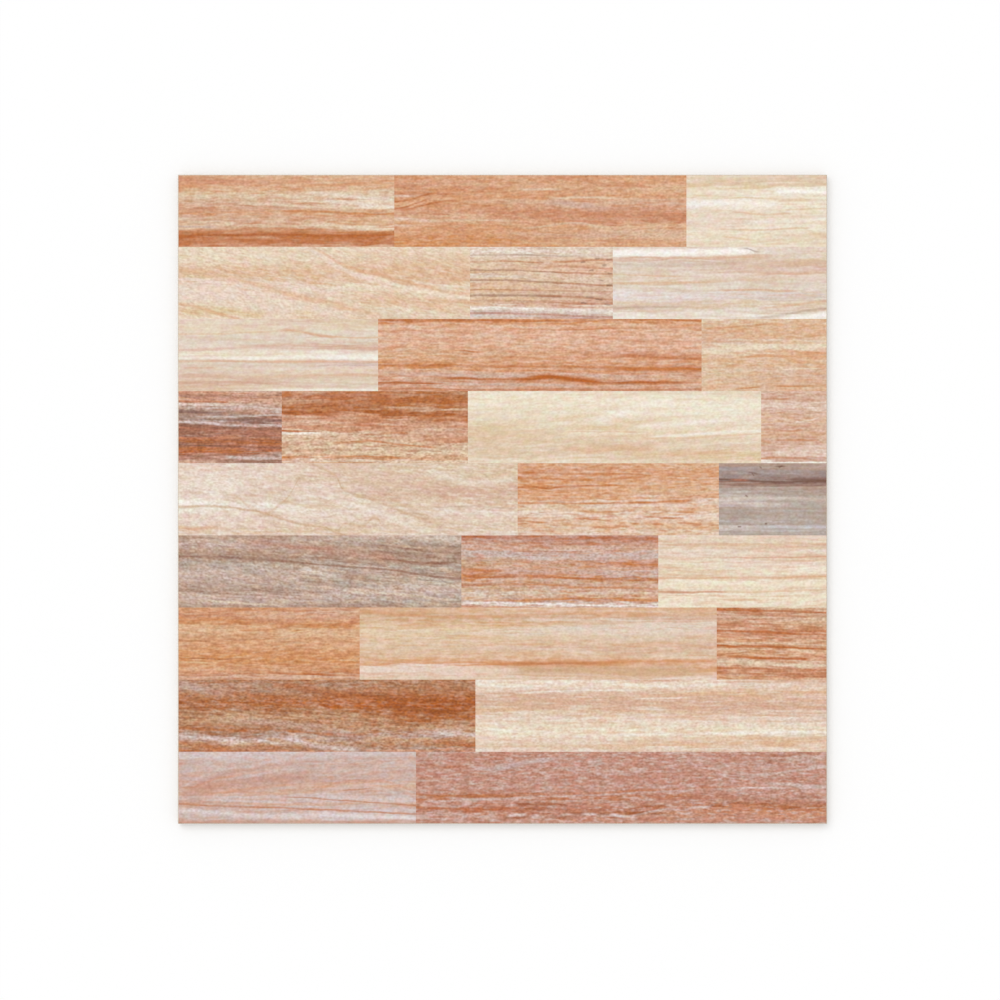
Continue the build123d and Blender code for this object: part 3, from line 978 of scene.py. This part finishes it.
# Row 9, along the near edge
print_strip(
    9, 220, "lavender", deep=rose, pale=orchid, grain=1.0, fibre=0.45, tinting=0.35, dash=salmon,
    dashes=0.3, fleck=orchid, flecks=0.35, ring=45.0, slope=0.02,
    left=[(8, orchid), (16, lilac), (30, lilac), (42, rose), (56, blush), (66, lilac), (72, blush),
          (76, lilac), (94, lilac), (100, rose)],
    right=[(0, orchid), (6, lilac), (38, lilac), (46, blush), (56, lilac), (64, orchid), (72, blush),
           (78, lilac), (86, orchid), (92, orchid), (96, lilac), (100, rose)],
    lines=[
        line(rose, [(4, 58), (16, 48), (34, 40), (54, 32)], 11.0, 0.6),
        line(rose, [(2, 58), (8, 46), (18, 34), (32, 24), (46, 17), (60, 14)], 2.6, 0.55),
        line(orchid, [(0, 50), (6, 40), (16, 28), (30, 20), (44, 13)], 2.0, 0.4),
        line(salmon, [(5, 50), (14, 40), (26, 32), (36, 28)], 1.8, 0.45),
        line(orchid, [(22, 38), (36, 30), (50, 25)], 2.2, 0.4),
        line(salmon, [(14, 58), (30, 50), (44, 46)], 2.0, 0.5),
        line(orchid, [(58, 58), (66, 52), (76, 50), (88, 54), (98, 64)], 3.0, 0.45),
        line(salmon, [(58, 52), (66, 44), (78, 41), (90, 44), (100, 54)], 2.0, 0.5),
        line(terracotta, [(72, 53), (80, 52)], 1.4, 0.6),
        line(orchid, [(16, 66), (32, 68), (46, 70)], 2.0, 0.8),
        line(terracotta, [(46, 62), (60, 65), (80, 70), (100, 73)], 1.5, 0.7),
        line(terracotta, [(0, 73), (12, 74), (30, 76), (50, 79), (70, 82), (100, 86)], 1.7, 0.8),
        line(pearl, [(0, 81), (12, 83), (30, 88), (50, 90)], 3.6, 0.6),
        line(pearl, [(56, 87), (76, 90), (100, 92)], 2.8, 0.8),
        line(rose, [(0, 98), (50, 97), (100, 98)], 2.0, 0.5),
        line(orchid, [(0, 4), (50, 5), (100, 3)], 4.0, 0.5),
    ],
)
print_strip(
    9, 380, "red_brown", deep=brick, pale=lilac, figure=0.65, fibre=0.88, tint=rose, dash=brick,
    dashes=0.47, fleck=mist, flecks=0.43, ring=19.0, stroke=6.5,
    left=[(56, rose), (62, terracotta), (70, rose), (78, brick), (86, rose)],
    right=[(66, rose), (76, terracotta), (88, salmon), (100, rose)],
    lines=[
        line(rust, [(0, 20), (8, 22)], 2.7, 0.5),
        line(steel, [(20, 24), (26, 16), (31, 12)], 4.0, 0.5),
        line(mist, [(86, 30), (100, 20)], 1.8, 0.5),
        line(mist, [(88, 44), (94, 47), (100, 48)], 3.0, 0.7),
        line(cinnamon, [(0, 60), (10, 62), (24, 62)], 2.2, 0.7),
        line(terracotta, [(26, 58), (44, 55), (62, 51), (80, 49)], 1.8, 0.6),
        line(mist, [(6, 68), (16, 66), (26, 64)], 1.6, 0.5),
        line(mist, [(24, 63), (48, 57), (66, 53)], 1.4, 0.35),
        line(brick, [(60, 64), (80, 66), (100, 70)], 2.7, 0.5),
        line(rust, [(0, 76), (12, 80), (22, 78)], 3.4, 0.7),
        line(cinnamon, [(38, 82), (48, 84), (60, 86)], 3.0, 0.6),
        line(mist, [(46, 86), (52, 88), (60, 80)], 1.9, 0.7),
        line(mist, [(0, 88), (10, 86), (16, 90)], 2.2, 0.4),
        line(pearl, [(80, 50), (86, 50)], 1.8, 0.6),
        line(brick, [(22, 82), (32, 80), (42, 82)], 3.4, 0.6),
        line(cinnamon, [(78, 71), (90, 76), (100, 74)], 2.4, 0.5),
        *pores(chestnut, 2.4, 0.7, [
            (39, 85, 41, 85), (45, 85, 47, 85), (52, 85, 55, 84), (57, 85, 59, 85), (25, 72, 36, 72),
            (26, 79, 32, 78), (22, 91, 27, 90), (33, 90, 37, 90),
        ]),
        *pores(chestnut, 2.2, 0.6, [
            (54, 75, 60, 74), (72, 75, 74, 75), (77, 71, 80, 71), (84, 72, 87, 71), (89, 78, 93, 78),
            (93, 63, 97, 62), (87, 5, 91, 5), (86, 13, 90, 12),
        ]),
        *pores(pearl, 2.0, 0.6, [
            (23, 87, 26, 87), (41, 85, 43, 85), (48, 86, 50, 88), (67, 78, 71, 77),
        ]),
    ],
)


# The glazed face is cut along the strips' edges, so that each strip of the print is a face of its own.
def glazed_faces():
    """The faces of the tile that lie in the plane of the glaze."""
    return [face for face in tile.faces if face.calc_center_median().z > thickness - face_bevel / 4]


def in_row(face, strip):
    """Whether a glazed face lies in the row of a strip."""
    return 0.0 < strip["top"] - face.calc_center_median().y < row_width * MM


def cut(faces, place, direction):
    """Cuts some faces of the tile along a plane."""
    geometry = set(faces)
    for face in faces:
        geometry.update(face.edges)
        geometry.update(face.verts)
    bmesh.ops.bisect_plane(tile, geom=list(geometry), plane_co=place, plane_no=direction)


for row in range(1, row_count):
    cut(glazed_faces(), (0.0, half_side - row * row_width * MM, 0.0), (0.0, 1.0, 0.0))
for strip in strips:
    row_faces = [face for face in glazed_faces() if in_row(face, strip)]
    cut(row_faces, (strip["start"], 0.0, 0.0), (1.0, 0.0, 0.0))

tile_mesh = bpy.data.meshes.new("wood_look_tile")
tile_mesh.materials.append(fired_back)
tile_mesh.materials.append(ground_body)
for strip in strips:
    tile_mesh.materials.append(strip["material"])
back_slot = 0
ground_slot = 1
first_print_slot = 2
for face in tile.faces:
    if face.calc_center_median().z < foot_height:
        face.material_index = back_slot
    else:
        face.material_index = ground_slot
for face in glazed_faces():
    for number, strip in enumerate(strips):
        past_start = face.calc_center_median().x - strip["start"]
        if in_row(face, strip) and 0.0 < past_start < strip["length"] * MM:
            face.material_index = first_print_slot + number

# Only the rounded corners of the pockets are smooth; every other edge of the pressing is crisp.
round_angle = math.radians(35.0)
for face in tile.faces:
    face.smooth = True
for edge in tile.edges:
    on_back = all(max(abs(vert.co.x), abs(vert.co.y)) < keyed_half for vert in edge.verts)
    edge.smooth = on_back and edge.calc_face_angle(0.0) < round_angle

# One flat layout of the whole skin: the printed face on the left, the back beside it, the four sides in
# columns. It is longer across the strips than along them, since the grain is finer that way.
face_columns = (0.004, 0.660)
back_columns = (0.672, 0.260)
side_columns = (0.940, 0.012)
column_step = 0.014
layout_rows = (0.005, 0.990)
skin_layout = tile.loops.layers.uv.new("OFBake")
for face in tile.faces:
    middle = face.calc_center_median()
    on_side = max(abs(middle.x), abs(middle.y)) > back_half
    faces_x = abs(face.normal.x) > abs(face.normal.y)
    side_number = (0 if faces_x else 2) + (1 if face.normal.x + face.normal.y > 0 else 0)
    for corner in face.loops:
        spot = corner.vert.co
        if on_side:
            across = side_columns[0] + side_number * column_step + side_columns[1] * spot.z / thickness
            along = spot.y if faces_x else spot.x
        else:
            first, width = face_columns if middle.z > thickness / 2 else back_columns
            across = first + width * (spot.x / half_side + 1) / 2
            along = spot.y
        corner[skin_layout].uv = (across, layout_rows[0] + layout_rows[1] * (along / half_side + 1) / 2)

tile.to_mesh(tile_mesh)
tile.free()
tile_piece = bpy.data.objects.new("wood_look_tile", tile_mesh)
bpy.context.scene.collection.objects.link(tile_piece)
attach(tile_piece, "root")
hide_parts("floor_tile")


# The stage: a plain white floor that keeps the tile's soft shadow, under even light from a wide, high lamp.
floor_half = 8.0
floor_gap = 0.1 * MM
floor_mesh = bmesh.new()
bmesh.ops.create_grid(floor_mesh, x_segments=1, y_segments=1, size=floor_half)
bmesh.ops.translate(floor_mesh, vec=(0.0, 0.0, -floor_gap), verts=floor_mesh.verts)
floor_data = bpy.data.meshes.new("studio_floor")
floor_mesh.to_mesh(floor_data)
floor_mesh.free()
floor = bpy.data.objects.new("studio_floor", floor_data)
bpy.context.scene.collection.objects.link(floor)

# White painted board: most of its white is lit, so it takes the shadow, and the rest glows to the eye alone.
board_white = 0.84
board_paint = bpy.data.materials.new("white_painted_board")
board_paint.use_nodes = True
tree = board_paint.node_tree
tree.nodes.remove(tree.nodes["Principled BSDF"])
seen = add(tree, "LightPath", {}, out="Is Camera Ray")
mirrored = add(tree, "Math", {0: seen, 1: seen.node.outputs["Is Glossy Ray"]}, operation="MAXIMUM")
shown = add(tree, "Math", {0: mirrored, 1: seen.node.outputs["Is Transmission Ray"]}, operation="MAXIMUM")
glow_level = add(tree, "Math", {0: shown, 1: 1.0 - board_white}, operation="MULTIPLY")
glow = add(tree, "Emission", {"Strength": glow_level})
paint = add(tree, "BsdfDiffuse", {"Color": (board_white, board_white, board_white, 1.0)})
board_surface = add(tree, "AddShader", {0: paint, 1: glow})
tree.links.new(board_surface, tree.nodes["Material Output"].inputs["Surface"])
floor_data.materials.append(board_paint)

# Even white surroundings: the room lights the tile at fill_level, and shows as plain white.
fill_level = 0.8
world = bpy.data.worlds.new("white_studio")
world.use_nodes = True
tree = world.node_tree
seen = add(tree, "LightPath", {}, out="Is Camera Ray")
mirrored = add(tree, "Math", {0: seen, 1: seen.node.outputs["Is Glossy Ray"]}, operation="MAXIMUM")
shown = add(tree, "Math", {0: mirrored, 1: seen.node.outputs["Is Transmission Ray"]}, operation="MAXIMUM")
room_level = add(tree, "MapRange", {"Value": shown, "To Min": fill_level, "To Max": 1.0})
tree.nodes["Background"].inputs["Color"].default_value = (1.0, 1.0, 1.0, 1.0)
tree.links.new(room_level, tree.nodes["Background"].inputs["Strength"])
bpy.context.scene.world = world

# One wide lamp high up gives the rest of the light and the soft shadow.
lamp_tilt = math.radians(34.0)
lamp_turn = math.radians(35.0)
lamp_spread = math.radians(40.0)
lamp_data = bpy.data.lights.new("wide_lamp", "SUN")
lamp_data.angle = lamp_spread
lamp_data.energy = (1.0 - fill_level) * math.pi / math.cos(lamp_tilt)
lamp = bpy.data.objects.new("wide_lamp", lamp_data)
lamp.rotation_euler = (lamp_tilt, 0.0, lamp_turn + math.pi)
bpy.context.scene.collection.objects.link(lamp)

# The camera looks straight down on the face, from far enough to show the tile square. Places in the image
# are in pixels.
image_size = 1000
tile_in_image = 649.2
tile_middle_x = 502.5
tile_middle_y = 499.3
camera_height = 3.0
view_width = 2 * half_side * image_size / tile_in_image
pixel = view_width / image_size
camera_data = bpy.data.cameras.new("camera")
camera_data.lens = camera_data.sensor_width * camera_height / view_width
camera = bpy.data.objects.new("camera", camera_data)
camera.location = (
    (image_size / 2 - tile_middle_x) * pixel,
    (tile_middle_y - image_size / 2) * pixel,
    thickness + camera_height,
)
bpy.context.scene.collection.objects.link(camera)
bpy.context.scene.camera = camera
bpy.context.scene.view_settings.view_transform = "Standard"
